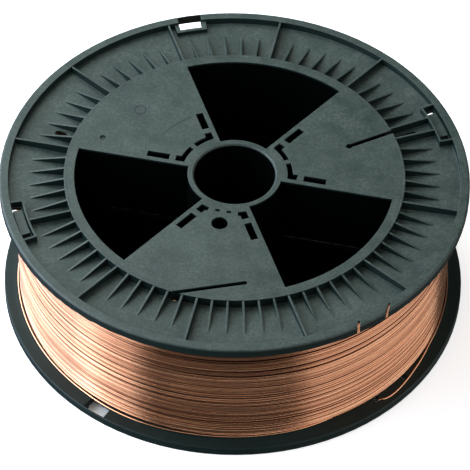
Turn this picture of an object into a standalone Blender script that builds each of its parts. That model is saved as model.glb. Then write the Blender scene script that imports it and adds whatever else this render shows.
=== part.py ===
"""A 300 mm plastic wire spool with its load of welding wire.

The spool is two equal mouldings that meet at mid-width. Each has a ribbed flange, a disc with
three solid and three open sectors, half of the drum wall and half of the hub tube. The upper one
is the lower one turned over about the X axis, so its solid sectors lie over the other's openings.
Lengths are millimetres until a mesh is made. Z is the spool's axis and the floor is at z = 0.
"""

import math

import bmesh
import bpy
from mathutils import Matrix, Vector

MM = 0.001

# Overall sizes of the spool
FLANGE_DIAMETER = 300.0
WIDTH = 100.0
BORE_DIAMETER = 52.0
BORE_CHAMFER = 1.0
DRIVE_HOLE_DIAMETER = 10.5
DRIVE_HOLE_RADIUS = 44.5

# The gap that meeting pieces keep, and how far joined shapes and cutters reach past a face
CLEARANCE = 0.3
OVERLAP = 1.0

# Hub, disc and drum; the disc's edge stands out from the drum by its step
HUB_WALL = 4.0
DISC_STEP = 2.75
DISC_THICKNESS = 3.0
DRUM_WALL = 3.8

# Flange plate and rim, measured in from the outer face
RIM_WIDTH = 5.8
RIM_HEIGHT = 6.5
RIM_ROUNDING = 1.2
RIM_CHAMFER = 0.6
RECESS_AT_RIM = 4.8
RECESS_AT_DISC = 6.4
PLATE_AT_DRUM = 2.1

# Sectors of the disc: solid ones are centred on these angles, with open ones between them
SECTOR_CENTRES = (90.0, 210.0, 330.0)
SECTOR_HALF_ANGLE = 30.0
DRIVE_SECTOR = 90.0
SECTOR_WEB = 2.8
WEB_INSET = 0.2

# Ribs on the flange
RIB_STEP = 5.0
LONG_RIB_STEP = 30.0
RIB_THICKNESS = 1.3
RIB_DROP = 0.4
EXTRA_RIB_ANGLE = 325.0

# Shares of the way from the disc's edge to the rim: the short ribs' tips, and the wire holes' ends
GUSSET_REACH = 0.64
START_HOLE_REACH = (0.065, 0.42)
SPARE_HOLE_REACH = (0.24, 0.34)

# Windows in the solid sectors
WINDOW_INSET = 3.0
WINDOW_WIDTH = 4.8
SIDE_WINDOW = (43.8, 58.3)
HUB_WINDOW = (33.8, 39.7)
ARC_WINDOW = (33.8, 37.2)
BRIDGE_WIDTH = 3.2
BOSS_RADIUS = 10.6
BOSS_DEPTH = 22.0
BOSS_ARC_ANGLE = 15.6
BOSS_SLIT = (33.1, 34.9)
BOSS_SLIT_ANGLES = (3.7, 8.7)

# Slots and holes for the wire's inner end; a slot's ends are (distance out from the disc's edge, angle)
START_SLOT = ((-31.0, -31.2), (0.6, -33.1))
START_SLOT_WIDTH = 3.0
START_EYE_DIAMETER = 4.2
START_HOLE_ANGLE = 327.5
START_HOLE_WIDTH = 4.0
SIDE_SLOT = ((-14.7, 73.8), (0.6, 98.1))
SIDE_SLOT_WIDTH = 2.8
SPARE_HOLE_ANGLE = 187.5
SPARE_HOLE_WIDTH = 4.6
SLOT_DEPTH = 9.5

# The shallow dent that the mould leaves in a solid sector: distance out from the disc's edge, and angle
DIMPLE_PLACE = (-18.5, 188.1)
DIMPLE_DIAMETER = 4.2
DIMPLE_DEPTH = 0.9

# Long pockets at the rim, which hold the wire's outer end
POCKET_ANGLES = (150.5, 327.8)
POCKET_HALF_ANGLE = 7.0
POCKET_WIDTH = 8.7
POCKET_WALL = 1.2
TONGUE_HALF_ANGLE = 4.3
TONGUE_DROP = 2.6
TONGUE_GAP = 0.9
POCKET_HOLE_ANGLES = (4.5, 6.1)

# The short window, which cuts the rim down to a thin outer wall and has a low wall round it
WINDOW_ANGLE = 245.9
WINDOW_HALF_ANGLE = 3.05
WINDOW_WIDTH_IN = 5.3
WINDOW_WALL = 2.8
WINDOW_LIP = 2.2
WINDOW_LIP_DROP = 1.9
WINDOW_RIM = 0.9

# The clip in the rim lies between two slanted slits: angle at the inner end, and turn on the way out
CLIP_SLITS = ((45.4, 2.25), (35.4, 4.4))
CLIP_SLIT_WIDTH = 1.5
CLIP_SLIT_INSET = 1.6

# The wire: its winding ends inside the flange's edge, and the drum lies under its depth
WIRE_DIAMETER = 1.0
WINDING_INSET = 10.0
WINDING_DEPTH = 34.0

# Where the wire's tail lies on the lower flange: angle, and distance out from the winding
TAIL_ROUTE = (
    (347.0, 0.9), (343.0, 1.7), (339.6, 2.5), (336.4, 3.3), (333.2, 4.3), (330.2, 5.2),
    (327.6, 5.8), (325.5, 5.8), (324.1, 5.1), (323.2, 3.9), (322.7, 2.4),
)
TAIL_POINTS = 28

# Fineness of the turned shapes
FLANGE_STEPS = 96
HUB_STEPS = 48
HOLE_STEPS = 24

PLASTIC = ("black_plastic", (0.030, 0.036, 0.034, 1.0), 0.55, 0.0)
COPPER = ("copper_coated_wire", (0.66, 0.34, 0.20, 1.0), 0.35, 1.0)


def flange_radius():
    return FLANGE_DIAMETER / 2


def rim_radius():
    return flange_radius() - RIM_WIDTH


def winding_radius():
    return flange_radius() - WINDING_INSET


def drum_radius():
    return winding_radius() - WINDING_DEPTH


def disc_radius():
    return drum_radius() + DISC_STEP


def bore_radius():
    return BORE_DIAMETER / 2


def hub_radius():
    return bore_radius() + HUB_WALL


def half_height():
    """Each half ends half a clearance short of mid-width."""
    return (WIDTH - CLEARANCE) / 2


def recess_radius(share):
    """The radius at a share of the way from the disc's edge to the rim."""
    return disc_radius() + share * (rim_radius() - disc_radius())


def pocket_radius():
    return rim_radius() - POCKET_WIDTH


def window_radius():
    return rim_radius() - WINDOW_WIDTH_IN


def floor_depth(radius):
    """Depth of the recess floor under the flange's outer face."""
    share = (radius - disc_radius()) / (rim_radius() - disc_radius())
    return RECESS_AT_DISC + (RECESS_AT_RIM - RECESS_AT_DISC) * share


def wire_face_depth(radius):
    """Depth of the flange's face that the wire lies against."""
    inner = RECESS_AT_DISC + PLATE_AT_DRUM
    share = (radius - drum_radius()) / (rim_radius() - drum_radius())
    return inner + (RIM_HEIGHT - inner) * min(share, 1.0)


def polar(radius, angle):
    turn = math.radians(angle)
    return (radius * math.cos(turn), radius * math.sin(turn))


def make_object(name, shape):
    """Turn a bmesh in millimetres into an object in metres."""
    shape.transform(Matrix.Scale(MM, 4))
    bmesh.ops.recalc_face_normals(shape, faces=shape.faces)
    mesh = bpy.data.meshes.new(name)
    shape.to_mesh(mesh)
    shape.free()
    obj = bpy.data.objects.new(name, mesh)
    bpy.context.scene.collection.objects.link(obj)
    return obj


def add_turned(shape, profile, steps):
    """Turn a closed outline of (radius, z) points round the Z axis."""
    rings = []
    for step in range(steps):
        angle = 360.0 * (step + 0.5) / steps
        rings.append([shape.verts.new((*polar(r, angle), z)) for r, z in profile])
    count = len(profile)
    for step in range(steps):
        here = rings[step]
        ahead = rings[(step + 1) % steps]
        for k in range(count):
            after = (k + 1) % count
            shape.faces.new((here[k], here[after], ahead[after], ahead[k]))


def add_prism(shape, outline, low, high):
    """Stand a flat outline of (x, y) points up from z = low to z = high."""
    bottom = [shape.verts.new((x, y, low)) for x, y in outline]
    top = [shape.verts.new((x, y, high)) for x, y in outline]
    shape.faces.new(bottom)
    shape.faces.new(top)
    count = len(outline)
    for k in range(count):
        after = (k + 1) % count
        shape.faces.new((bottom[k], bottom[after], top[after], top[k]))


def add_upright(shape, outline, angle, thickness):
    """Stand a plate of (radius, z) points on edge along a radius."""
    turn = Matrix.Rotation(math.radians(angle), 4, "Z")
    half = thickness / 2
    sides = []
    for offset in (-half, half):
        sides.append([shape.verts.new(turn @ Vector((r, offset, z))) for r, z in outline])
    shape.faces.new(sides[0])
    shape.faces.new(sides[1])
    count = len(outline)
    for k in range(count):
        after = (k + 1) % count
        shape.faces.new((sides[0][k], sides[0][after], sides[1][after], sides[1][k]))


def arc_outline(inner, outer, start, end, steps=1):
    """A piece of a ring between two radii and two angles."""
    angles = [start + (end - start) * k / steps for k in range(steps + 1)]
    outline = [polar(inner, a) for a in angles]
    outline += [polar(outer, a) for a in reversed(angles)]
    return outline


def from_disc_edge(distance, angle):
    """The (x, y) point that lies this far out from the disc's edge."""
    return polar(disc_radius() + distance, angle)


def slot_outline(start, end, width):
    """A straight slot with round ends."""
    heading = math.atan2(end[1] - start[1], end[0] - start[0])
    outline = []
    for centre, base in ((end, heading - math.pi / 2), (start, heading + math.pi / 2)):
        for k in range(7):
            turn = base + math.pi * k / 6
            outline.append((centre[0] + width / 2 * math.cos(turn),
                            centre[1] + width / 2 * math.sin(turn)))
    return outline


def circle_outline(centre, diameter, steps=HOLE_STEPS):
    outline = []
    for k in range(steps):
        x, y = polar(diameter / 2, 360.0 * (k + 0.5) / steps)
        outline.append((centre[0] + x, centre[1] + y))
    return outline


def strip_outline(edge_angle, side, along, inset, width):
    """A strip beside a sector's edge, which lies at edge_angle; side is +1 or -1."""
    turn = math.radians(edge_angle)
    outline = []
    for distance, offset in ((along[0], inset), (along[1], inset),
                             (along[1], inset + width), (along[0], inset + width)):
        outline.append((distance * math.cos(turn) - side * offset * math.sin(turn),
                        distance * math.sin(turn) + side * offset * math.cos(turn)))
    return outline


def flange_profile():
    """Outline of the flange, the disc and the drum wall, from the hub outward."""
    rim = flange_radius()
    corner = RIM_ROUNDING * (1 - math.sqrt(0.5))
    inside = (bore_radius() + hub_radius()) / 2
    return [
        (inside, 0.0),
        (disc_radius(), 0.0),
        (disc_radius(), floor_depth(disc_radius())),
        (rim_radius(), floor_depth(rim_radius())),
        (rim_radius(), 0.0),
        (rim - RIM_ROUNDING, 0.0),
        (rim - corner, corner),
        (rim, RIM_ROUNDING),
        (rim, RIM_HEIGHT - RIM_CHAMFER),
        (rim - RIM_CHAMFER, RIM_HEIGHT),
        (rim_radius(), RIM_HEIGHT),
        (drum_radius(), wire_face_depth(drum_radius())),
        (drum_radius(), half_height()),
        (drum_radius() - DRUM_WALL, half_height()),
        (drum_radius() - DRUM_WALL, DISC_THICKNESS),
        (inside, DISC_THICKNESS),
    ]


def hub_profile():
    return [
        (bore_radius() + BORE_CHAMFER, 0.0),
        (hub_radius(), 0.0),
        (hub_radius(), half_height()),
        (bore_radius(), half_height()),
        (bore_radius(), BORE_CHAMFER),
    ]


def rib_profile(tip_radius, tip_drop):
    """A rib stands in the recess from the disc's edge out to tip_radius."""
    sunk = PLATE_AT_DRUM / 2
    root = disc_radius() - OVERLAP
    return [
        (root, RIB_DROP),
        (disc_radius(), RIB_DROP),
        (tip_radius, tip_drop),
        (tip_radius, floor_depth(tip_radius) + sunk),
        (root, floor_depth(root) + sunk),
    ]


def ribs():
    """The ribs in the recess, every one at RIB_STEP and a long one at LONG_RIB_STEP."""
    shape = bmesh.new()
    for k in range(round(360.0 / RIB_STEP)):
        angle = k * RIB_STEP
        long_rib = angle % LONG_RIB_STEP == 0 or angle == EXTRA_RIB_ANGLE
        if long_rib:
            tip = rim_radius() + OVERLAP
            if min(abs(angle - pocket) for pocket in POCKET_ANGLES) < POCKET_HALF_ANGLE:
                tip = pocket_radius() + POCKET_WALL / 2
            profile = rib_profile(tip, RIB_DROP)
        else:
            tip = recess_radius(GUSSET_REACH)
            profile = rib_profile(tip, floor_depth(tip))
        add_upright(shape, profile, angle, RIB_THICKNESS)
    return make_object("ribs", shape)


def sector_webs():
    """Walls under the two edges of each solid sector, down to mid-width."""
    shape = bmesh.new()
    along = (bore_radius() + HUB_WALL / 2, drum_radius() - DRUM_WALL / 2)
    for centre in SECTOR_CENTRES:
        for side in (1, -1):
            edge = centre - side * SECTOR_HALF_ANGLE
            outline = strip_outline(edge, side, along, WEB_INSET, SECTOR_WEB - WEB_INSET)
            add_prism(shape, outline, DISC_THICKNESS / 2, half_height())
    return make_object("sector_webs", shape)


def pocket_walls():
    """The wall of each long pocket, its tongue, and the low wall round the short window."""
    shape = bmesh.new()
    top = RIB_DROP
    low = (floor_depth(rim_radius()) + RIM_HEIGHT) / 2
    outside = rim_radius() + OVERLAP
    inner = pocket_radius()
    wall_angle = math.degrees(POCKET_WALL / inner)
    for angle in POCKET_ANGLES:
        start = angle - POCKET_HALF_ANGLE
        end = angle + POCKET_HALF_ANGLE
        wall = [polar(outside, start)]
        wall += [polar(inner, start + (end - start) * k / 6) for k in range(7)]
        wall += [polar(outside, end), polar(outside, end - wall_angle)]
        first = end - wall_angle
        last = start + wall_angle
        wall += [polar(inner + POCKET_WALL, first + (last - first) * k / 6) for k in range(7)]
        wall += [polar(outside, last)]
        add_prism(shape, wall, top, low)
        tongue = arc_outline(inner + POCKET_WALL + TONGUE_GAP, rim_radius() - TONGUE_GAP,
                             angle - TONGUE_HALF_ANGLE, angle + TONGUE_HALF_ANGLE, 4)
        add_prism(shape, tongue, TONGUE_DROP, low)
    side_angle = math.degrees(WINDOW_WALL / window_radius())
    box = arc_outline(window_radius() - WINDOW_LIP, outside,
                      WINDOW_ANGLE - WINDOW_HALF_ANGLE - side_angle,
                      WINDOW_ANGLE + WINDOW_HALF_ANGLE + side_angle, 4)
    add_prism(shape, box, WINDOW_LIP_DROP, low)
    return make_object("pocket_walls", shape)


def drive_boss():
    shape = bmesh.new()
    centre = polar(DRIVE_HOLE_RADIUS, DRIVE_SECTOR)
    add_prism(shape, circle_outline(centre, 2 * BOSS_RADIUS), DISC_THICKNESS / 2, BOSS_DEPTH)
    return make_object("drive_boss", shape)


def openings():
    """The open sectors and the windows of the solid ones, through the disc."""
    shape = bmesh.new()
    low = -OVERLAP
    high = DISC_THICKNESS + OVERLAP
    outer = drum_radius() - DRUM_WALL
    for centre in SECTOR_CENTRES:
        start = centre + SECTOR_HALF_ANGLE
        end = start + 120.0 - 2 * SECTOR_HALF_ANGLE
        add_prism(shape, arc_outline(hub_radius(), outer, start, end, 16), low, high)
        for side in (1, -1):
            edge = centre - side * SECTOR_HALF_ANGLE
            add_prism(shape, strip_outline(edge, side, SIDE_WINDOW, WINDOW_INSET, WINDOW_WIDTH),
                      low, high)
            add_prism(shape, hub_window_outline(centre, side), low, high)
            if centre == DRIVE_SECTOR:
                slit = [centre - side * a for a in BOSS_SLIT_ANGLES]
                add_prism(shape, arc_outline(*BOSS_SLIT, *slit), low, high)
    return make_object("openings", shape)


def hub_window_outline(centre, side):
    """A strip beside the sector's edge that turns into an arc round the hub."""
    edge = centre - side * SECTOR_HALF_ANGLE
    strip = strip_outline(edge, side, HUB_WINDOW, WINDOW_INSET, WINDOW_WIDTH)
    inner, outer = ARC_WINDOW
    near = math.degrees(math.asin(WINDOW_INSET / inner))
    far = math.degrees(math.asin((WINDOW_INSET + WINDOW_WIDTH) / outer))
    bridge = math.degrees(BRIDGE_WIDTH / 2 / inner)
    if centre == DRIVE_SECTOR:
        bridge = BOSS_ARC_ANGLE
    stop = SECTOR_HALF_ANGLE - bridge
    outline = [strip[1]]
    outline += [polar(inner, edge + side * (near + (stop - near) * k / 4)) for k in range(5)]
    outline += [polar(outer, edge + side * (stop + (far - stop) * k / 4)) for k in range(5)]
    outline += [strip[2]]
    return outline


def holes():
    """The drive hole, the dent, the wire slots, the pocket holes and the rim's window and slits."""
    shape = bmesh.new()
    past_rim = RIM_HEIGHT + OVERLAP
    centre = polar(DRIVE_HOLE_RADIUS, DRIVE_SECTOR)
    add_prism(shape, circle_outline(centre, DRIVE_HOLE_DIAMETER), -OVERLAP, BOSS_DEPTH + OVERLAP)
    add_prism(shape, circle_outline(from_disc_edge(*DIMPLE_PLACE), DIMPLE_DIAMETER, HOLE_STEPS // 2),
              -OVERLAP, DIMPLE_DEPTH)
    side_slot = [from_disc_edge(*end) for end in SIDE_SLOT]
    add_prism(shape, slot_outline(*side_slot, SIDE_SLOT_WIDTH), -OVERLAP, SLOT_DEPTH)
    spare = [polar(recess_radius(share), SPARE_HOLE_ANGLE) for share in SPARE_HOLE_REACH]
    add_prism(shape, slot_outline(*spare, SPARE_HOLE_WIDTH), -OVERLAP, SLOT_DEPTH)
    for angle in POCKET_ANGLES:
        for side in (1, -1):
            start, end = (angle + side * a for a in POCKET_HOLE_ANGLES)
            add_prism(shape, arc_outline(pocket_radius() + POCKET_WALL + TONGUE_GAP,
                                         rim_radius() - TONGUE_GAP, start, end, 2),
                      TONGUE_DROP, past_rim)
    window = arc_outline(window_radius(), flange_radius() - WINDOW_RIM,
                         WINDOW_ANGLE - WINDOW_HALF_ANGLE, WINDOW_ANGLE + WINDOW_HALF_ANGLE, 4)
    add_prism(shape, window, -OVERLAP, past_rim)
    for angle, turn in CLIP_SLITS:
        add_prism(shape, clip_slit_outline(angle, turn), -OVERLAP, past_rim)
    return make_object("holes", shape)


def clip_slit_outline(angle, turn):
    """A straight slit from inside the rim out through its edge, slanted by turn degrees."""
    start = polar(rim_radius() - CLIP_SLIT_INSET, angle)
    end = polar(flange_radius() + OVERLAP, angle + turn)
    heading = math.atan2(end[1] - start[1], end[0] - start[0])
    aside = polar(CLIP_SLIT_WIDTH / 2, math.degrees(heading) + 90.0)
    return [(x + side * aside[0], y + side * aside[1])
            for (x, y), side in ((start, 1), (end, 1), (end, -1), (start, -1))]


def start_cuts():
    """The slot and eye for the wire's inner end, and the hole they lead to in the flange."""
    cuts = []
    hole = [polar(recess_radius(share), START_HOLE_ANGLE) for share in START_HOLE_REACH]
    slot = [from_disc_edge(*end) for end in START_SLOT]
    outlines = {
        "start_slot": slot_outline(*slot, START_SLOT_WIDTH),
        "start_eye": circle_outline(slot[0], START_EYE_DIAMETER, HOLE_STEPS // 2),
        "start_hole": slot_outline(*hole, START_HOLE_WIDTH),
    }
    for name, outline in outlines.items():
        shape = bmesh.new()
        add_prism(shape, outline, -OVERLAP, SLOT_DEPTH)
        cuts.append(make_object(name, shape))
    return cuts


def combine(body, tool, operation):
    """Add to the body, or cut from it, with a tool that is only a guide."""
    tool.hide_render = True
    tool.display_type = "WIRE"
    step = body.modifiers.new(tool.name, "BOOLEAN")
    step.operation = operation
    step.solver = "EXACT"
    step.object = tool


def half_mesh():
    """The moulding as it lies with its outer face down, at z = 0."""
    shape = bmesh.new()
    add_turned(shape, flange_profile(), FLANGE_STEPS)
    body = make_object("moulding", shape)
    shape = bmesh.new()
    add_turned(shape, hub_profile(), HUB_STEPS)
    tools = [make_object("hub", shape), ribs(), sector_webs(), pocket_walls()]
    for tool in tools:
        combine(body, tool, "UNION")
    cutters = [openings()]
    combine(body, cutters[0], "DIFFERENCE")
    boss = drive_boss()
    combine(body, boss, "UNION")
    cutters += [holes()] + start_cuts()
    for cutter in cutters[1:]:
        combine(body, cutter, "DIFFERENCE")
    graph = bpy.context.evaluated_depsgraph_get()
    mesh = bpy.data.meshes.new_from_object(body.evaluated_get(graph))
    mesh.name = "spool_half"
    for used in [body, boss] + tools + cutters:
        bpy.data.objects.remove(used)
    return mesh


def make_material(name, colour, roughness, metallic):
    material = bpy.data.materials.new(name)
    material.use_nodes = True
    surface = material.node_tree.nodes["Principled BSDF"]
    surface.inputs["Base Color"].default_value = colour
    surface.inputs["Roughness"].default_value = roughness
    surface.inputs["Metallic"].default_value = metallic
    material.diffuse_color = colour
    return material


def smooth(mesh):
    mesh.shade_smooth()
    mesh.set_sharp_from_angle(angle=math.radians(30))


def make_halves(material):
    mesh = half_mesh()
    mesh.materials.clear()
    mesh.materials.append(material)
    smooth(mesh)
    lower = bpy.data.objects.new("spool_half_lower", mesh)
    upper = bpy.data.objects.new("spool_half_upper", mesh)
    upper.location = (0.0, 0.0, WIDTH * MM)
    upper.rotation_euler = (math.pi, 0.0, 0.0)
    for half in (lower, upper):
        bpy.context.scene.collection.objects.link(half)


def make_winding(material):
    """The wound wire as one turned solid between the flanges."""
    inner = drum_radius() + CLEARANCE
    outer = winding_radius()
    low_in = wire_face_depth(inner) + CLEARANCE
    low_out = wire_face_depth(outer) + CLEARANCE
    profile = [(inner, low_in), (outer, low_out), (outer, WIDTH - low_out), (inner, WIDTH - low_in)]
    shape = bmesh.new()
    add_turned(shape, profile, FLANGE_STEPS)
    winding = make_object("wire_winding", shape)
    winding.data.materials.append(material)
    smooth(winding.data)


def smooth_route(points, count):
    """Points on a smooth curve through the given ones, by the Catmull-Rom formula."""
    padded = [points[0]] + list(points) + [points[-1]]
    last = len(points) - 1
    route = []
    for k in range(count):
        place = k * last / (count - 1)
        cell = min(int(place), last - 1)
        t = place - cell
        before, start, end, after = (Vector(p) for p in padded[cell:cell + 4])
        route.append(start + t * ((end - before) / 2
                                  + t * (before - 2.5 * start + 2 * end - after / 2
                                         + t * (1.5 * (start - end) + (after - before) / 2))))
    return route


def make_tail(material):
    """The wire's free end, which lies on the lower flange and curls to a pocket's hole."""
    count = round(TAIL_POINTS)
    points = []
    for angle, distance in TAIL_ROUTE:
        radius = winding_radius() + distance
        lift = wire_face_depth(radius) + CLEARANCE + WIRE_DIAMETER / 2
        points.append((*polar(radius, angle), lift))
    curve = bpy.data.curves.new("wire_tail", "CURVE")
    curve.dimensions = "3D"
    curve.bevel_depth = WIRE_DIAMETER / 2 * MM
    curve.bevel_resolution = 2
    curve.use_fill_caps = True
    spline = curve.splines.new("POLY")
    spline.points.add(count - 1)
    for spot, place in zip(spline.points, smooth_route(points, count)):
        spot.co = (*(value * MM for value in place), 1.0)
    tail = bpy.data.objects.new("wire_tail", curve)
    curve.materials.append(material)
    bpy.context.scene.collection.objects.link(tail)


def main():
    for obj in list(bpy.data.objects):
        bpy.data.objects.remove(obj)
    make_halves(make_material(*PLASTIC))
    copper = make_material(*COPPER)
    make_winding(copper)
    make_tail(copper)


main()
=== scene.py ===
"""Looks of the welding wire spool: moulded dark plastic, real wire turns, floor, light and camera."""

import math
import random

import bmesh
import bpy
from mathutils import Matrix, Vector

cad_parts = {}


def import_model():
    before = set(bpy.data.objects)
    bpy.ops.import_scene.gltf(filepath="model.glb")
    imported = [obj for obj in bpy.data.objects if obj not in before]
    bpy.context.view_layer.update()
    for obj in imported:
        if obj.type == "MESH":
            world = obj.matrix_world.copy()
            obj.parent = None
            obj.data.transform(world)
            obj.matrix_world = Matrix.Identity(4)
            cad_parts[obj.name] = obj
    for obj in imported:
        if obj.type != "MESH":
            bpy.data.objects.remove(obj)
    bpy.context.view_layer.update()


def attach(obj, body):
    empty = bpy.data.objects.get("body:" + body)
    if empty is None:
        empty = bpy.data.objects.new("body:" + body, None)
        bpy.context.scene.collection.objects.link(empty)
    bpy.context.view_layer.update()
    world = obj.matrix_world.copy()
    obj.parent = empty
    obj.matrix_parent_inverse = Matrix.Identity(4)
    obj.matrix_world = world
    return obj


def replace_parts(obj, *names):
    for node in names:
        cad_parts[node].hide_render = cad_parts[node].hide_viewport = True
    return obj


MM = 0.001

# Sizes of the spool, in millimetres, as in the solids
WIDTH = 100.0
DRUM_RADIUS = 106.0
DRUM_WALL = 3.8
RIM_INNER = 144.2
WIRE_FACE_AT_DRUM = 8.5
WIRE_FACE_AT_RIM = 6.5
WIND_RADIUS = 140.0
WIRE = 1.0
GAP = 0.3

# How finely the wire is made, where it shows whole and where only its outer side shows
TURN_STEPS = 144
TURN_SIDES = 8
UNDER_STEPS = 96
UNDER_SIDES = 6

# How far the under layer lies inside the outer one, in wires
UNDER_DEPTH = 0.87

# The two layers that show. A turn may sink by the slack. Its shade is 0 for the dark painted shade between
# turns and 1 for bright copper, and in between partly its own tone, partly painted light.
LAYERS = {
    "wire_outer_layer": {
        "turns": 71, "radius": WIND_RADIUS, "steps": TURN_STEPS, "sides": TURN_SIDES,
        "seed": 3, "slack": 0.5, "shades": (0.14, 1.0),
    },
    # The under layer is coloured almost wholly with the painted shade, which shows in the gaps between the
    # outer turns
    "wire_under_layer": {
        "turns": 82, "radius": WIND_RADIUS - UNDER_DEPTH * WIRE, "steps": UNDER_STEPS, "sides": UNDER_SIDES,
        "seed": 8, "slack": 0.1, "shades": (0.0, 0.06),
    },
}

# Each turn steps over to the next one from this angle on, over this span, in degrees
CROSSING_START = 78.0
CROSSING_SPAN = 16.0

# The chance below which the gap to the next turn is wide or else small, and how wide it is beside the others
WIDE_GAP = (0.25, 1.0)
SMALL_GAP = (0.45, 0.25)
CLOSE_GAP = 0.02

# A gap comes and goes round the spool in so many waves, and keeps at least this share of its width
GAP_WAVES = 3
LEAST_WAVE = 0.05

# A turn is sunk by this share of its own depth, and by a wave's share more
LEAST_SINK = 0.4

# Set the random draws of one layer apart: its gaps, their waves, its turns and their waves
GAP_SEED = 1000
GAP_WAVE_SEED = 31
TURN_SEED = 50
TURN_WAVE_SEEDS = (7, 3)

# How much of a turn's shade is its own, and how much comes and goes round the spool; both are partly random
# tone and partly painted light, for turns that lie a little differently to the light
TURN_SHADE = 0.65
ROUND_SHADE = 0.35

# Shades in the spirals on the winding's ends, and how far the core, coloured dark as painted shade between
# the turns, lies inside the winding, in wires
END_SHADES = (0.5, 0.9)
CORE_DEPTH = 2.3
CORE_STEPS = 120

# How many waves are added up, what spreads their starting points, and what brings their sum to about 0 to 1
WAVES = 5
SCATTER = (12.9898, 78.233, 43758.5453)
WAVE_REACH = 3.4

# The last turn lies loose on the lower flange: angle in degrees, and millimetres out from the winding
LOOSE_TURN = (
    (676.0, -1.1), (668.0, -0.7), (660.0, 0.3), (650.0, 0.75), (640.0, 0.85), (630.0, 1.1),
    (618.0, 1.7), (608.0, 1.5), (600.0, 0.9), (590.0, 0.8), (560.0, 0.9), (520.0, 0.8),
    (480.0, 1.0), (440.0, 0.8), (400.0, 0.9), (370.0, 0.9), (357.0, 0.8),
)
# From here on the wire stands clear of the winding
LOOSE_END = (
    (347.0, 0.9), (343.0, 1.7), (339.6, 2.5), (336.4, 3.3), (333.2, 4.3), (330.2, 5.2),
    (327.6, 5.8), (325.5, 5.8), (324.1, 5.1), (323.2, 3.9), (322.7, 2.4), (322.5, 1.2),
)
# The end dips into a pocket's hole over its last points, by so many millimetres
LOOSE_DIPS = (0.3, 1.4, 3.2)
# The longest stretch of the loose turn between two points, in degrees, and the least number of stretches
LOOSE_STRETCH = 2.5
LEAST_STRETCHES = 3

# Edges of the wound pieces sharper than this, in degrees, aren't smoothed
SHARP_ANGLE = 50.0

# Marks of the mould on the upper disc: a seam's arc, a small ring, and faint turning marks
SEAM_RADIUS = 57.6
SEAM_WIDTH = 0.45
SEAM_MIDDLE = (-46.5, 34.0, WIDTH)
SEAM_REACH = (13.0, 15.0)
RING_CENTRE = (-71.4, 42.7, WIDTH)
RING_RADIUS = 3.6
RING_WIDTH = 0.6
FAINT_RINGS = (28.2, 106.9)
FAINT_WIDTH = 0.4
FAINTNESS = 0.45

# The plastic's noise: scale, detail and roughness of the melt's flow, of patches, of grain and of specks
PLASTIC_NOISE = {
    "flow": (20.0, 5.0, 0.6),
    "patch": (70.0, 5.0, 0.7),
    "grain": (1400.0, 2.0, 0.6),
    "speck": (520.0, 3.0, 0.7),
}

# Where that noise goes from its low to its high side, for the mixes, for dust and for the mottle
FLOW_RANGE = (0.32, 0.68)
PATCH_RANGE = (0.3, 0.7)
DUST_PATCHES = (0.38, 0.72)
DUST_SPECKS = (0.40, 0.70)
LEAST_DUST = 0.2
MOTTLE_SPECKS = (0.35, 0.65)
SPECK_MOTTLE = (0.78, 1.2)
PATCH_MOTTLE = (0.9, 1.1)

# The plastic's colours: clean walls, darkened as painted shade, and worn outer faces, paler partly as painted
# light, each from dark to pale; dust; rubbed edges with a painted highlight; marks; and the painted shade
# inside the drum
CLEAN_AND_SHADED = ((0.006, 0.015, 0.014, 1), (0.010, 0.023, 0.021, 1))
WORN_AND_LIT = ((0.021, 0.038, 0.033, 1), (0.038, 0.058, 0.050, 1))
DUST = (0.12, 0.14, 0.125, 1)
RUBBED_AND_HIGHLIT = (0.15, 0.185, 0.17, 1)
MARK = (0.006, 0.012, 0.011, 1)
# Near black: the painted shade inside the drum and the hub
DRUM_PAINTED_SHADE = (0.0015, 0.0022, 0.0020, 1)

# How strongly dust, rubbed edges with their painted highlight, and marks show
DUST_SHARE = 0.6
RUBBED_AND_HIGHLIT_SHARE = 0.55
MARK_SHARE = 0.85

# How far the plastic's sharp edges look rounded, in millimetres, and by how many samples
EDGE_ROUNDING = 0.45
EDGE_SAMPLES = 4

# How closely the rounded normal keeps to the face's own, on a sharp edge and on a flat face
EDGE_RANGE = (0.80, 0.99)

# The relief of the plastic: its depth in millimetres, its strength, and the shares of grain and patches in it
GRAIN_DEPTH = 0.25
GRAIN_STRENGTH = 0.6
GRAIN_SHARE = 0.5
PATCH_SHARE = 0.5

# How far a face leans outward where it starts to count as an outer face, and where it wholly does
OUTER_RANGE = (0.15, 0.55)

# How far under the outer faces the painted shade inside the drum starts, and where it is wholly there, in
# millimetres
PAINTED_SHADE_DEPTH = (0.4, 2.0)
# It fades out half way into the drum's wall, over this width
PAINTED_SHADE_FADE = 0.5

# Roughness and gloss: smooth and rough patches, what the drum's inside adds, and gloss of walls and faces
PATCH_ROUGHNESS = (0.36, 0.54)
INSIDE_ROUGHNESS = 0.45
GLOSS = (0.24, 0.42)

# The copper's colours: bright and dull turns, whose brightness is partly painted light, each over its
# streaks, and the painted shade between and below them
BRIGHT_TURN = ((0.90, 0.47, 0.27, 1), (0.97, 0.57, 0.36, 1))
DULL_TURN = ((0.44, 0.19, 0.11, 1), (0.62, 0.30, 0.17, 1))
PAINTED_GAP_SHADE = (0.07, 0.018, 0.014, 1)
STREAK_NOISE = (30.0, 3.0, 0.6)
STREAK_STRETCH = (1.0, 1.0, 14.0)
STREAK_RANGE = (0.3, 0.7)
STREAK_ROUGHNESS = (0.24, 0.16)
# Shades of a turn between the painted shade and dull copper, and between dull and bright copper
SHADE_TO_DULL = (0.0, 0.25)
DULL_TO_BRIGHT = (0.3, 0.9)

# The camera of the photograph: place in degrees and millimetres, focal length and picture in pixels
CAMERA_AZIMUTH = 11.52
CAMERA_ELEVATION = 46.80
CAMERA_DISTANCE = 2143.4
CAMERA_FOCAL = 3308.2
IMAGE_SIZE = 470.0
# How far it is turned sideways, up or down, and about its line of sight, in degrees
CAMERA_TURNS = (0.0248, -0.1339, -0.9758)

# How near and how far the camera sees, in metres
NEAREST_SEEN = 0.05
FARTHEST_SEEN = 50.0

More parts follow.
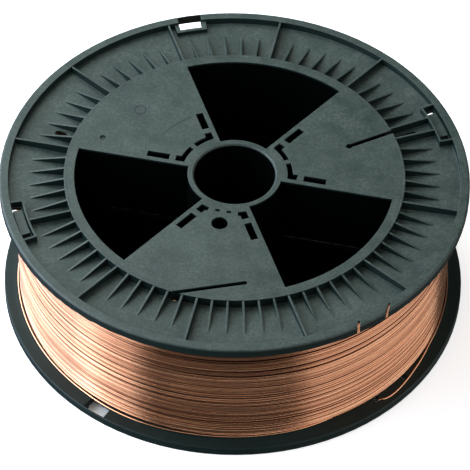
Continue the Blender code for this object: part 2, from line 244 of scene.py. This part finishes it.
# Light boxes: turn from the camera and elevation in degrees, distance and size in metres, power, colour
LIGHTS = {
    "left_wall": (-101.0, 12.0, 1.25, (2.2, 1.9), 3.4, (0.67, 0.77, 1.0)),
    "left_flap": (-57.0, 12.0, 1.4, (0.75, 1.9), 1.9, (0.88, 0.92, 1.0)),
    "right_wall": (69.5, 10.0, 1.25, (1.9, 1.9), 1.15, (0.98, 0.95, 0.94)),
    "back_box": (234.0, 50.0, 1.15, (1.3, 1.1), 3.3, (0.90, 1.0, 0.98)),
    "front_top": (0.0, 62.0, 1.6, (1.2, 0.4), 1.5, (1.0, 0.99, 0.97)),
}
WORLD_LIGHT = 0.09

# The floor's size in metres, its whiteness, roughness and glow
FLOOR_SIZE = 12.0
FLOOR_WHITE = 0.93
FLOOR_ROUGHNESS = 0.9
FLOOR_GLOW = 0.6
# The floor's glow fades out under the spool, between these distances from its axis, in millimetres
GLOW_FADE = (144.2, 146.0)


def wire_face(radius):
    """Height of the lower flange's face under the wire."""
    share = min((radius - DRUM_RADIUS) / (RIM_INNER - DRUM_RADIUS), 1.0)
    return WIRE_FACE_AT_DRUM + (WIRE_FACE_AT_RIM - WIRE_FACE_AT_DRUM) * share


def make_camera():
    """Looks at mid-width, turned a little about its own axes, as the photograph was taken."""
    elevation = math.radians(CAMERA_ELEVATION)
    place = Vector((0.0, -CAMERA_DISTANCE * math.cos(elevation), CAMERA_DISTANCE * math.sin(elevation)))
    ahead = -place.normalized()
    right = Vector((1.0, 0.0, 0.0))
    up = right.cross(ahead)
    yaw, pitch, roll = (math.radians(angle) for angle in CAMERA_TURNS)
    turn = Matrix.Rotation(roll, 3, "Z") @ Matrix.Rotation(pitch, 3, "X") @ Matrix.Rotation(-yaw, 3, "Y")
    right, up, ahead = turn @ Matrix((right, up, ahead))
    world = Matrix((right, up, -ahead)).transposed().to_4x4()
    world.translation = place * MM
    world = Matrix.Rotation(math.radians(CAMERA_AZIMUTH), 4, "Z") @ world
    world.translation.z += WIDTH / 2 * MM
    data = bpy.data.cameras.new("camera")
    data.lens = CAMERA_FOCAL / IMAGE_SIZE * data.sensor_width
    data.clip_start = NEAREST_SEEN
    data.clip_end = FARTHEST_SEEN
    camera = bpy.data.objects.new("camera", data)
    bpy.context.scene.collection.objects.link(camera)
    camera.matrix_world = world
    bpy.context.scene.camera = camera
    bpy.context.scene.view_settings.view_transform = "Standard"


def make_light(name, turn, elevation, distance, size, brightness, colour):
    """A soft box that faces the spool from that side and isn't seen itself."""
    side = math.radians(CAMERA_AZIMUTH + turn)
    rise = math.radians(elevation)
    back = Vector((math.sin(side) * math.cos(rise), -math.cos(side) * math.cos(rise), math.sin(rise)))
    data = bpy.data.lights.new(name, "AREA")
    data.shape = "RECTANGLE"
    data.size, data.size_y = size
    data.energy = brightness * math.pi * size[0] * size[1]
    data.color = colour
    light = bpy.data.objects.new(name, data)
    light.location = back * distance + Vector((0, 0, WIDTH / 2 * MM))
    light.rotation_mode = "QUATERNION"
    light.rotation_quaternion = (-back).to_track_quat("-Z", "Y")
    light.visible_camera = False
    bpy.context.scene.collection.objects.link(light)


def make_world():
    """White where it is seen, and dim as a light, so that the light boxes shape the wire."""
    world = bpy.data.worlds.new("studio")
    world.use_nodes = True
    tree = world.node_tree
    dim = tree.nodes["Background"]
    seen = tree.nodes.new("ShaderNodeBackground")
    for background in (dim, seen):
        background.inputs["Color"].default_value = (1.0, 1.0, 1.0, 1.0)
    dim.inputs["Strength"].default_value = WORLD_LIGHT
    path = tree.nodes.new("ShaderNodeLightPath")
    mix = tree.nodes.new("ShaderNodeMixShader")
    tree.links.new(path.outputs["Is Camera Ray"], mix.inputs["Fac"])
    tree.links.new(dim.outputs["Background"], mix.inputs[1])
    tree.links.new(seen.outputs["Background"], mix.inputs[2])
    tree.links.new(mix.outputs["Shader"], tree.nodes["World Output"].inputs["Surface"])
    bpy.context.scene.world = world


def make_floor():
    """A white floor that catches the spool's shadow and throws no light back on it."""
    bpy.ops.mesh.primitive_plane_add(size=FLOOR_SIZE, location=(0.0, 0.0, 0.0))
    floor = bpy.context.active_object
    floor.name = "floor"
    nodes = Nodes("floor")
    nodes.surface.inputs["Base Color"].default_value = (FLOOR_WHITE, FLOOR_WHITE, FLOOR_WHITE, 1.0)
    nodes.surface.inputs["Roughness"].default_value = FLOOR_ROUGHNESS
    nodes.surface.inputs["Emission Color"].default_value = (1.0, 1.0, 1.0, 1.0)
    away = nodes.distance(nodes.add("ShaderNodeTexCoord").outputs["Object"], (0, 0, 0))
    fade = [edge * MM for edge in GLOW_FADE]
    nodes.link(nodes.ramp(away, *fade, 0.0, FLOOR_GLOW), "Emission Strength")
    floor.data.materials.append(nodes.material)
    floor.visible_glossy = False
    floor.visible_diffuse = False
    floor.visible_shadow = False


class Nodes:
    """Short calls for building a material's nodes."""

    def __init__(self, name):
        self.material = bpy.data.materials.new(name)
        self.material.use_nodes = True
        self.tree = self.material.node_tree
        self.surface = self.tree.nodes["Principled BSDF"]

    def fill(self, socket, value):
        """Joins another node's output to a socket, or sets its value."""
        if isinstance(value, bpy.types.NodeSocket):
            self.tree.links.new(value, socket)
        else:
            socket.default_value = value

    def add(self, kind, inputs=None, **settings):
        node = self.tree.nodes.new(kind)
        for key, value in settings.items():
            setattr(node, key, value)
        for key, value in (inputs or {}).items():
            self.fill(node.inputs[key], value)
        return node

    def noise(self, where, scale, detail, roughness):
        node = self.add("ShaderNodeTexNoise",
                        {"Vector": where, "Scale": scale, "Detail": detail, "Roughness": roughness})
        return node.outputs["Fac"]

    def ramp(self, value, low, high, first=0.0, second=1.0):
        node = self.add("ShaderNodeMapRange", {"Value": value, "From Min": low, "From Max": high,
                                               "To Min": first, "To Max": second})
        return node.outputs["Result"]

    def mix(self, share, first, second, blend="MIX"):
        """Mixes two colours. The node has sockets of the same name, so they go by number."""
        node = self.add("ShaderNodeMix", data_type="RGBA", blend_type=blend)
        for index, value in ((0, share), (6, first), (7, second)):
            self.fill(node.inputs[index], value)
        return node.outputs[2]

    def math(self, operation, first, second=0.0):
        node = self.add("ShaderNodeMath", {0: first, 1: second}, operation=operation)
        return node.outputs[0]

    def times(self, *values):
        product = values[0]
        for value in values[1:]:
            product = self.math("MULTIPLY", product, value)
        return product

    def distance(self, where, centre):
        """Distance in metres from a point given in millimetres."""
        point = tuple(value * MM for value in centre)
        node = self.add("ShaderNodeVectorMath", {0: where, 1: point}, operation="DISTANCE")
        return node.outputs["Value"]

    def ring(self, where, centre, radius, width):
        """1 on a ring of that radius round a point, fading out over its width."""
        off = self.math("ABSOLUTE", self.math("SUBTRACT", self.distance(where, centre), radius * MM))
        return self.ramp(off, 0.0, width * MM, 1.0, 0.0)

    def link(self, value, socket):
        """Joins an output to the surface's socket of that name."""
        self.tree.links.new(value, self.surface.inputs[socket])


def painted_drum_shade(nodes, where):
    """Mask of the painted shade: 1 on the walls inside the drum and the hub, which are coloured near black as
    shade, and 0 on the outer faces and beyond the drum.
    """
    place = nodes.add("ShaderNodeSeparateXYZ", {"Vector": where})
    flat = nodes.add("ShaderNodeCombineXYZ", {"X": place.outputs["X"], "Y": place.outputs["Y"]})
    radius = nodes.distance(flat.outputs["Vector"], (0, 0, 0))
    depth = nodes.math("ABSOLUTE", nodes.math("SUBTRACT", place.outputs["Z"], WIDTH / 2 * MM))
    within = DRUM_RADIUS - DRUM_WALL / 2
    none, whole = (WIDTH / 2 - under for under in PAINTED_SHADE_DEPTH)
    return nodes.times(nodes.ramp(radius, within * MM, (within + PAINTED_SHADE_FADE) * MM, 1.0, 0.0),
                       nodes.ramp(depth, whole * MM, none * MM, 1.0, 0.0))


def mould_marks(nodes, where):
    """Faint marks that the mould left on the upper disc."""
    middle = (0, 0, WIDTH)
    near, far = (reach * MM for reach in SEAM_REACH)
    seam = nodes.times(nodes.ring(where, middle, SEAM_RADIUS, SEAM_WIDTH),
                       nodes.ramp(nodes.distance(where, SEAM_MIDDLE), near, far, 1.0, 0.0))
    total = nodes.math("MAXIMUM", seam, nodes.ring(where, RING_CENTRE, RING_RADIUS, RING_WIDTH))
    for radius in FAINT_RINGS:
        faint = nodes.math("MULTIPLY", nodes.ring(where, middle, radius, FAINT_WIDTH), FAINTNESS)
        total = nodes.math("MAXIMUM", total, faint)
    return total


def lit_outer_faces(nodes, where):
    """1 on the faces turned outward along the axis, 0 on the rest. These are paler, partly from scuffs and
    dust and partly as painted light, and the walls are darker as painted shade.
    """
    normal = nodes.add("ShaderNodeNewGeometry").outputs["True Normal"]
    lean = nodes.add("ShaderNodeSeparateXYZ", {"Vector": normal}).outputs["Z"]
    height = nodes.add("ShaderNodeSeparateXYZ", {"Vector": where}).outputs["Z"]
    side = nodes.ramp(height, 0.0, WIDTH * MM, -1.0, 1.0)
    return nodes.ramp(nodes.math("MULTIPLY", lean, side), *OUTER_RANGE)


def sharp_edges(nodes, rounded):
    """1 on sharp edges, where the rounded normal leaves the face's own, and 0 on flat faces."""
    flat = nodes.add("ShaderNodeNewGeometry").outputs["True Normal"]
    along = nodes.add("ShaderNodeVectorMath", {0: rounded, 1: flat}, operation="DOT_PRODUCT")
    return nodes.ramp(along.outputs["Value"], *EDGE_RANGE, 1.0, 0.0)


def dusty_and_lit_plastic(nodes, noise, outer):
    """Darker plastic on the walls, as painted shade; on the outer faces it is paler, partly as painted light,
    mottled by scuffs, with dust in patches.
    """
    flow = nodes.ramp(noise["flow"], *FLOW_RANGE)
    mottle = nodes.math("MULTIPLY", nodes.ramp(noise["speck"], *MOTTLE_SPECKS, *SPECK_MOTTLE),
                        nodes.ramp(noise["patch"], *PATCH_RANGE, *PATCH_MOTTLE))
    grey = nodes.add("ShaderNodeCombineXYZ", {"X": mottle, "Y": mottle, "Z": mottle}).outputs[0]
    # Painted light and shade: the outer faces take the paler colours and the walls the darker ones
    worn = nodes.mix(1.0, nodes.mix(flow, *WORN_AND_LIT), grey, blend="MULTIPLY")
    colour = nodes.mix(outer, nodes.mix(flow, *CLEAN_AND_SHADED), worn)
    dusty = nodes.times(nodes.ramp(noise["patch"], *DUST_PATCHES),
                        nodes.ramp(noise["speck"], *DUST_SPECKS, LEAST_DUST, 1.0), outer)
    return nodes.mix(nodes.math("MULTIPLY", dusty, DUST_SHARE), colour, DUST)


def plastic_material():
    """Moulded black plastic: darker on its walls as painted shade, paler on its outer faces partly as painted
    light and partly greyed by dust and scuffs, and near black inside the drum as painted shade.
    """
    nodes = Nodes("moulded_plastic")
    where = nodes.add("ShaderNodeTexCoord").outputs["Object"]
    noise = {name: nodes.noise(where, *settings) for name, settings in PLASTIC_NOISE.items()}
    inner = painted_drum_shade(nodes, where)
    marks = mould_marks(nodes, where)
    outer = lit_outer_faces(nodes, where)
    bevel = nodes.add("ShaderNodeBevel", {"Radius": EDGE_ROUNDING * MM}, samples=EDGE_SAMPLES)
    rounded = bevel.outputs["Normal"]
    colour = dusty_and_lit_plastic(nodes, noise, outer)
    # Sharp edges of the outer faces are paler: partly rubbed wear, partly a painted highlight
    colour = nodes.mix(nodes.times(sharp_edges(nodes, rounded), outer, RUBBED_AND_HIGHLIT_SHARE), colour, RUBBED_AND_HIGHLIT)
    colour = nodes.mix(nodes.math("MULTIPLY", marks, MARK_SHARE), colour, MARK)
    # Painted shade: the walls inside the drum and the hub are coloured near black
    nodes.link(nodes.mix(inner, colour, DRUM_PAINTED_SHADE), "Base Color")
    rough = nodes.math("ADD", nodes.ramp(noise["patch"], *PATCH_RANGE, *PATCH_ROUGHNESS),
                       nodes.math("MULTIPLY", inner, INSIDE_ROUGHNESS))
    nodes.link(rough, "Roughness")
    gloss = nodes.math("MULTIPLY", nodes.ramp(outer, 0.0, 1.0, *GLOSS), nodes.math("SUBTRACT", 1.0, inner))
    nodes.link(gloss, "Specular IOR Level")
    relief = nodes.math("ADD", nodes.math("MULTIPLY", noise["grain"], GRAIN_SHARE),
                        nodes.math("MULTIPLY", noise["patch"], PATCH_SHARE))
    height = nodes.math("SUBTRACT", relief, marks)
    bump = nodes.add("ShaderNodeBump", {"Height": height, "Strength": GRAIN_STRENGTH,
                                        "Distance": GRAIN_DEPTH * MM, "Normal": rounded})
    nodes.link(bump.outputs["Normal"], "Normal")
    return nodes.material


def copper_material():
    """Drawn steel wire with a thin bright copper coat; each turn's shade is partly its own tone and partly
    painted light, and the darkest shades give the painted shade between turns.
    """
    nodes = Nodes("copper_coat")
    tone_and_shade = nodes.add("ShaderNodeAttribute", attribute_name="turn_tone_and_shade").outputs["Fac"]
    where = nodes.add("ShaderNodeTexCoord").outputs["Object"]
    along = nodes.add("ShaderNodeVectorMath", {0: where, 1: STREAK_STRETCH}, operation="MULTIPLY")
    streak = nodes.noise(along.outputs["Vector"], *STREAK_NOISE)
    shine = nodes.ramp(streak, *STREAK_RANGE)
    dull = nodes.mix(shine, *DULL_TURN)
    bright = nodes.mix(shine, *BRIGHT_TURN)
    # Between dull and bright copper: partly the turn's own tone, partly painted light
    colour = nodes.mix(nodes.ramp(tone_and_shade, *DULL_TO_BRIGHT), dull, bright)
    nodes.link(nodes.mix(nodes.ramp(tone_and_shade, *SHADE_TO_DULL), PAINTED_GAP_SHADE, colour), "Base Color")
    nodes.surface.inputs["Metallic"].default_value = 1.0
    nodes.link(nodes.ramp(streak, *STREAK_RANGE, *STREAK_ROUGHNESS), "Roughness")
    return nodes.material


def wave(seed, angle, count=WAVES):
    """A smooth closed wave round the spool, between about 0 and 1."""
    total = 0.0
    for number in range(1, count + 1):
        phase = math.tau * ((seed * SCATTER[0] + number * SCATTER[1]) * SCATTER[2] % 1.0)
        total += math.sin(number * angle + phase) / number
    return 0.5 + total / WAVE_REACH


def layer_heights(turns, low, high, angle, seed):
    """Heights of the turns of one layer at an angle: most lie close, some leave a gap."""
    gaps = []
    for turn in range(turns + 1):
        chance = random.Random(seed * GAP_SEED + turn).random()
        size = CLOSE_GAP
        if chance < WIDE_GAP[0]:
            size = WIDE_GAP[1]
        elif chance < SMALL_GAP[0]:
            size = SMALL_GAP[1]
        gaps.append(size * max(LEAST_WAVE, wave(seed * GAP_WAVE_SEED + turn, angle, GAP_WAVES)))
    unit = ((high - low) - turns * WIRE) / sum(gaps)
    heights = []
    height = low
    for gap in gaps[:turns]:
        height += gap * unit
        heights.append(height + WIRE / 2)
        height += WIRE
    return heights


def crossing_height(heights, turn, place):
    """A turn's height at a share of its way round: it first steps over from the turn before."""
    span = CROSSING_SPAN / 360.0
    if turn == 0 or place >= span:
        return heights[turn]
    share = place / span
    share = share * share * (3 - 2 * share)
    return heights[turn - 1] + (heights[turn] - heights[turn - 1]) * share


def new_shape():
    """An empty shape, and the layer that holds the shade of each of its points."""
    shape = bmesh.new()
    return shape, shape.verts.layers.float.new("turn_tone_and_shade")


def close_tube(shape, rings):
    """Skin between the rings of vertices, and a cap on each end."""
    sides = len(rings[0])
    for here, ahead in zip(rings, rings[1:]):
        for side in range(sides):
            after = (side + 1) % sides
            shape.faces.new((here[side], ahead[side], ahead[after], here[after]))
    shape.faces.new(rings[0])
    shape.faces.new(list(reversed(rings[-1])))


def wound_tube(name, points, sides, shades, material):
    """A tube of wire round the Z axis through points of (radius, angle in radians, height)."""
    shape, tone_and_shade = new_shape()
    rings = []
    for (radius, angle, height), shade in zip(points, shades):
        ring = []
        for side in range(sides):
            around = math.tau * (side + 0.5) / sides
            out = radius + WIRE / 2 * math.cos(around)
            vert = shape.verts.new((out * math.cos(angle) * MM, out * math.sin(angle) * MM,
                                    (height + WIRE / 2 * math.sin(around)) * MM))
            vert[tone_and_shade] = shade
            ring.append(vert)
        rings.append(ring)
    close_tube(shape, rings)
    return finish_piece(name, shape, material)


def finish_piece(name, shape, material):
    """Puts the shape into the scene as a piece of copper wire, smooth but for its sharp edges."""
    bmesh.ops.recalc_face_normals(shape, faces=shape.faces)
    mesh = bpy.data.meshes.new(name)
    shape.to_mesh(mesh)
    shape.free()
    mesh.shade_smooth()
    mesh.set_sharp_from_angle(angle=math.radians(SHARP_ANGLE))
    mesh.materials.append(material)
    piece = bpy.data.objects.new(name, mesh)
    bpy.context.scene.collection.objects.link(piece)
    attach(piece, "root")
    return piece


def wound_layer(name, material, turns, radius, steps, sides, seed, slack, shades):
    """One layer of wire as a single tube, which runs through all of its turns."""
    low = wire_face(radius) + GAP + WIRE
    high = WIDTH - low
    start = math.radians(CROSSING_START)
    table = [layer_heights(turns, low, high, start + math.tau * step / steps, seed) for step in range(steps)]
    darkest, brightest = shades
    layer_seed, turn_seed = TURN_WAVE_SEEDS
    points = []
    point_shades = []
    for turn in range(turns):
        spread = random.Random(seed * TURN_SEED + turn)
        base = spread.random()
        sunk = slack * spread.random() ** 2
        for step in range(steps if turn < turns - 1 else steps + 1):
            place = step / steps
            angle = start + math.tau * place
            depth = sunk * (LEAST_SINK + wave(seed * layer_seed + turn * turn_seed, angle))
            height = crossing_height(table[step % steps], turn, place)
            points.append((radius - WIRE / 2 - depth, angle, height))
            shade = TURN_SHADE * base + ROUND_SHADE * wave(turn + seed, angle)
            point_shades.append(darkest + (brightest - darkest) * shade)
    return wound_tube(name, points, sides, point_shades, material)


def end_turns(name, upper, material):
    """The flat spiral of turns on one end of the winding, which shows through the flange's holes."""
    inner = DRUM_RADIUS + GAP + WIRE / 2
    outer = WIND_RADIUS - WIRE / 2
    count = int((outer - inner) / WIRE)
    dull, bright = END_SHADES
    points = []
    shades = []
    for step in range(count * UNDER_STEPS + 1):
        place = step / UNDER_STEPS
        radius = inner + (outer - inner) * place / count
        height = wire_face(radius) + GAP + WIRE / 2
        if upper:
            height = WIDTH - height
        points.append((radius, math.tau * place, height))
        shades.append(dull + (bright - dull) * random.Random(int(place)).random())
    return wound_tube(name, points, UNDER_SIDES, shades, material)


def wound_core(material):
    """The turns below, as one solid in the painted shade, which shows only between the turns outside."""
    radius = WIND_RADIUS - CORE_DEPTH * WIRE
    inner = DRUM_RADIUS + GAP
    cover = GAP + WIRE / 2
    profile = [(inner, wire_face(inner) + cover), (radius, wire_face(radius) + cover),
               (radius, WIDTH - wire_face(radius) - cover), (inner, WIDTH - wire_face(inner) - cover)]
    shape, tone_and_shade = new_shape()
    rings = []
    for step in range(CORE_STEPS):
        angle = math.tau * step / CORE_STEPS
        ring = [shape.verts.new((out * math.cos(angle) * MM, out * math.sin(angle) * MM, height * MM))
                for out, height in profile]
        for vert in ring:
            vert[tone_and_shade] = 0.0
        rings.append(ring)
    for here, ahead in zip(rings, rings[1:] + rings[:1]):
        for corner in range(len(profile)):
            after = (corner + 1) % len(profile)
            shape.faces.new((here[corner], here[after], ahead[after], ahead[corner]))
    return finish_piece("wire_core", shape, material)


def loose_route():
    """The middle line of the loose turn and of the wire's end, which dips into a pocket's hole."""
    points = []
    for angle, distance in LOOSE_TURN + LOOSE_END:
        radius = WIND_RADIUS + distance
        height = wire_face(radius) + GAP + WIRE / 2
        points.append(Vector((radius, math.radians(angle), height)))
    for point, dip in zip(points[-len(LOOSE_DIPS):], LOOSE_DIPS):
        point.z -= dip
    return [Vector((radius * math.cos(angle), radius * math.sin(angle), height))
            for radius, angle, height in smooth_route(points)]


def smooth_route(points):
    """A smooth route through points of (radius, angle, height), by the Catmull-Rom formula."""
    padded = [points[0]] + points + [points[-1]]
    route = []
    for before, start, end, after in zip(padded, padded[1:], padded[2:], padded[3:]):
        span = abs(end.y - start.y)
        pieces = max(LEAST_STRETCHES, round(math.degrees(span) / LOOSE_STRETCH))
        slope = (end - before) / 2
        square = before - 2.5 * start + 2 * end - after / 2
        cubic = 1.5 * (start - end) + (after - before) / 2
        for piece in range(pieces):
            share = piece / pieces
            route.append(start + share * (slope + share * (square + share * cubic)))
    route.append(points[-1])
    return route


def loose_turn(material):
    """The last turn, loose on the lower flange, with the wire's end."""
    centres = loose_route()
    last = len(centres) - 1
    shape, tone_and_shade = new_shape()
    rings = []
    for place, centre in enumerate(centres):
        heading = centres[min(place + 1, last)] - centres[max(place - 1, 0)]
        heading.normalize()
        aside = heading.cross(Vector((0, 0, 1))).normalized()
        up = aside.cross(heading)
        ring = []
        for side in range(TURN_SIDES):
            around = math.tau * side / TURN_SIDES
            out = math.cos(around) * aside + math.sin(around) * up
            vert = shape.verts.new((centre + WIRE / 2 * out) * MM)
            vert[tone_and_shade] = 1.0
            ring.append(vert)
        rings.append(ring)
    close_tube(shape, rings)
    return finish_piece("wire_loose_turn", shape, material)


def main():
    """Dresses the solids."""
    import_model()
    make_camera()
    for name, values in LIGHTS.items():
        make_light(name, *values)
    make_world()
    make_floor()
    plastic = plastic_material()
    copper = copper_material()
    for name in ("spool_half_lower", "spool_half_upper"):
        half = bpy.data.objects[name]
        half.data.materials.clear()
        half.data.materials.append(plastic)
    layers = [wound_layer(name, copper, **values) for name, values in LAYERS.items()]
    ends = [end_turns("wire_end_lower", False, copper), end_turns("wire_end_upper", True, copper)]
    for piece in layers + [wound_core(copper)] + ends:
        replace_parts(piece, "wire_winding")
    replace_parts(loose_turn(copper), "wire_tail")


main()
